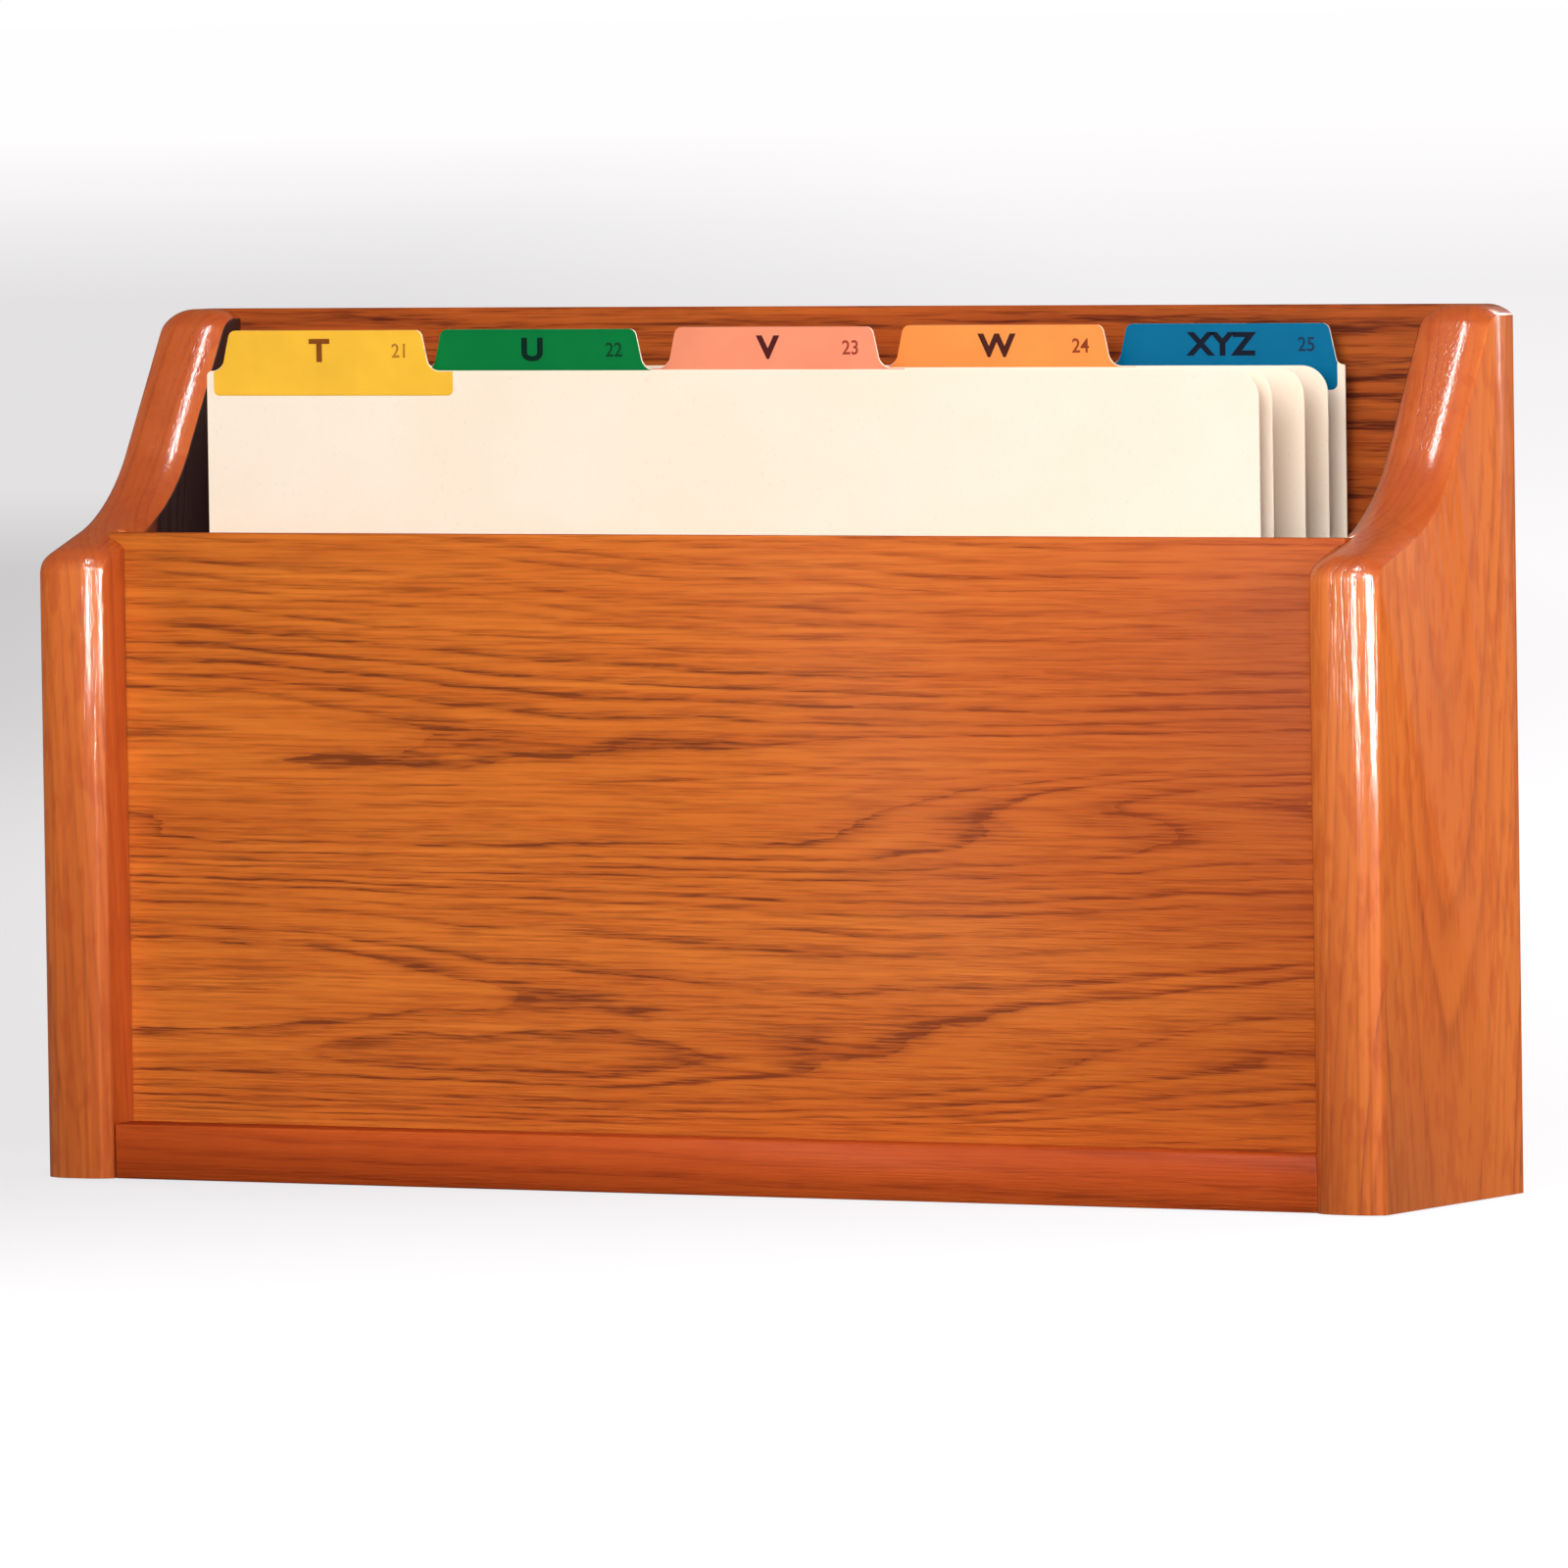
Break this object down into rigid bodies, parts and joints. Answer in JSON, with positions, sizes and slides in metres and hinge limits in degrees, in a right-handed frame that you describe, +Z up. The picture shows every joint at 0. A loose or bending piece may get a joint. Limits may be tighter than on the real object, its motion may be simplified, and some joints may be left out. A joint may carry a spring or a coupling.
{
  "type": "wall file pocket",
  "caption": "Single oak wall pocket with S-curved sides, a plywood front panel and manila index guides with laminated tabs, each of which lifts out.",
  "frame": {"origin": "centre of the whole object's footprint, on the underside of the bottom board and the sides", "axes": "+X to the right as seen from the front, +Y towards the wall, +Z up"},
  "size_m": [0.4762, 0.0952, 0.2732],
  "materials": {
    "oak": "medium oak stain under a satin-gloss clear lacquer",
    "base_oak": "redder oak stain under a satin-gloss clear lacquer",
    "beech": "unfinished",
    "zinc_plated_steel": "yellow zinc plating",
    "manila": "smooth manila card",
    "laminate_T": "yellow film bonded to the card",
    "laminate_U": "green film bonded to the card",
    "laminate_V": "salmon pink film bonded to the card",
    "laminate_W": "orange film bonded to the card",
    "laminate_XYZ": "blue film bonded to the card"
  },
  "bodies": {
    "case": {"left_side": "oak", "right_side": "oak", "bottom_board": "base_oak", "front_panel": "oak", "back_panel": "oak", "dowel_left_front": "beech", "dowel_left_rear": "beech", "dowel_right_front": "beech", "dowel_right_rear": "beech", "screw_left_low": "zinc_plated_steel", "screw_left_middle": "zinc_plated_steel", "screw_left_high": "zinc_plated_steel", "screw_right_low": "zinc_plated_steel", "screw_right_middle": "zinc_plated_steel", "screw_right_high": "zinc_plated_steel", "screw_base_left": "zinc_plated_steel", "screw_base_middle": "zinc_plated_steel", "screw_base_right": "zinc_plated_steel"},
    "guide_T": {"card_T": "manila", "film_front_T": "laminate_T", "film_rear_T": "laminate_T"},
    "guide_U": {"card_U": "manila", "film_front_U": "laminate_U", "film_rear_U": "laminate_U"},
    "guide_V": {"card_V": "manila", "film_front_V": "laminate_V", "film_rear_V": "laminate_V"},
    "guide_W": {"card_W": "manila", "film_front_W": "laminate_W", "film_rear_W": "laminate_W"},
    "guide_XYZ": {"card_XYZ": "manila", "film_front_XYZ": "laminate_XYZ", "film_rear_XYZ": "laminate_XYZ"}
  },
  "joints": [
    {"name": "lift_T", "type": "slide", "parent": "case", "child": "guide_T", "axis": [0, 0, 1], "range_m": [0, 0.262]},
    {"name": "lift_U", "type": "slide", "parent": "case", "child": "guide_U", "axis": [0, 0, 1], "range_m": [0, 0.262]},
    {"name": "lift_V", "type": "slide", "parent": "case", "child": "guide_V", "axis": [0, 0, 1], "range_m": [0, 0.262]},
    {"name": "lift_W", "type": "slide", "parent": "case", "child": "guide_W", "axis": [0, 0, 1], "range_m": [0, 0.262]},
    {"name": "lift_XYZ", "type": "slide", "parent": "case", "child": "guide_XYZ", "axis": [0, 0, 1], "range_m": [0, 0.262]}
  ]
}
